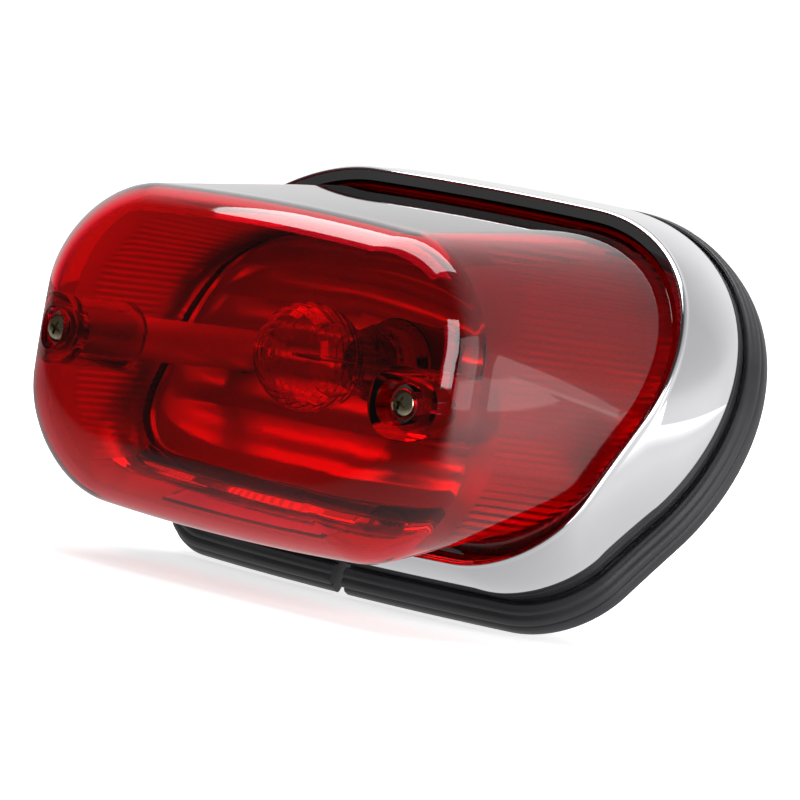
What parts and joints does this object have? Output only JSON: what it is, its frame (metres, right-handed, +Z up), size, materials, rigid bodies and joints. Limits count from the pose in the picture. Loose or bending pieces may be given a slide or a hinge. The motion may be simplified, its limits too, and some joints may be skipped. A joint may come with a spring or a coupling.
{
  "type": "motorcycle tail light",
  "caption": "Motorcycle tail light with a deep red box lens, a flared chrome bezel and a rubber gasket shaped to a fender, lit by a bayonet bulb.",
  "frame": {"origin": "centre of the lens's front face, midway between the two lens screws", "axes": "+X to the viewer's right when facing the lens, +Y from the lens towards the fender and along the screws, +Z up"},
  "size_m": [0.1558, 0.1517, 0.0987],
  "materials": {
    "lens_red": "clear red, polished",
    "window_clear": "clear, polished",
    "seal_foam": "foam",
    "rubber_black": "satin moulded rubber",
    "chrome": "mirror bright",
    "reflector_chrome": "bright metallised",
    "plated_steel": "zinc plated",
    "nickel_screw": "yellow passivated",
    "plate_black": "black electrocoat",
    "insulator_brown": "phenolic board",
    "brass": "brass",
    "bulb_glass": "clear blown glass",
    "solder": "solder",
    "tungsten": "drawn wire",
    "wire_sheath": "PVC insulation",
    "sleeve_black": "soft PVC"
  },
  "bodies": {
    "housing": {"chrome_bezel": "chrome", "reflector": "reflector_chrome", "screw_pillars": "reflector_chrome", "base_plate": "plate_black", "socket_holder": "plate_black", "socket_shell": "plated_steel", "socket_spring": "plated_steel", "fender_gasket": "rubber_black", "mounting_studs": "plated_steel", "stud_collars": "plated_steel", "flat_washers": "plated_steel", "lock_washers": "plated_steel", "mounting_nuts": "plated_steel", "wires": "wire_sheath", "wire_sleeve": "sleeve_black", "wire_grommet": "rubber_black", "wire_terminals": "plated_steel"},
    "lens_unit": {"lens": "lens_red", "plate_window": "window_clear", "lens_seal": "seal_foam"},
    "washer_l": {"washer_left": "plated_steel"},
    "screw_l": {"lens_screw_left": "nickel_screw"},
    "washer_r": {"washer_right": "plated_steel"},
    "screw_r": {"lens_screw_right": "nickel_screw"},
    "contacts": {"contact_plate": "insulator_brown", "contact_plungers": "brass"},
    "bulb": {"bulb_glass": "bulb_glass", "bulb_base": "brass", "bulb_contacts": "solder", "bulb_filaments": "tungsten"}
  },
  "joints": [
    {"name": "lens_lift", "type": "slide", "parent": "housing", "child": "lens_unit", "axis": [0, -1, 0], "range_m": [0, 0.06]},
    {"name": "screw_left_out", "type": "slide", "parent": "lens_unit", "child": "washer_l", "axis": [0, -1, 0], "range_m": [0, 0.014]},
    {"name": "screw_left_turn", "type": "hinge", "parent": "washer_l", "child": "screw_l", "pos_m": [-0.0525, 0, 0], "axis": [0, -1, 0], "range_deg": [0, 7200.01]},
    {"name": "screw_right_out", "type": "slide", "parent": "lens_unit", "child": "washer_r", "axis": [0, -1, 0], "range_m": [0, 0.014]},
    {"name": "screw_right_turn", "type": "hinge", "parent": "washer_r", "child": "screw_r", "pos_m": [0.0525, 0, 0], "axis": [0, -1, 0], "range_deg": [0, 7200.01]},
    {"name": "bulb_push", "type": "slide", "parent": "housing", "child": "contacts", "axis": [0, 1, 0], "range_m": [0, 0.002], "deforming": ["socket_spring"]},
    {"name": "bulb_twist", "type": "hinge", "parent": "contacts", "child": "bulb", "pos_m": [0, 0.06, 0.004], "axis": [0, -1, 0], "range_deg": [0, 18]}
  ],
  "couplings": [
    {"joint": "screw_left_turn", "follows": "screw_left_out", "rad_per_m": 8976},
    {"joint": "screw_right_turn", "follows": "screw_right_out", "rad_per_m": 8976}
  ]
}
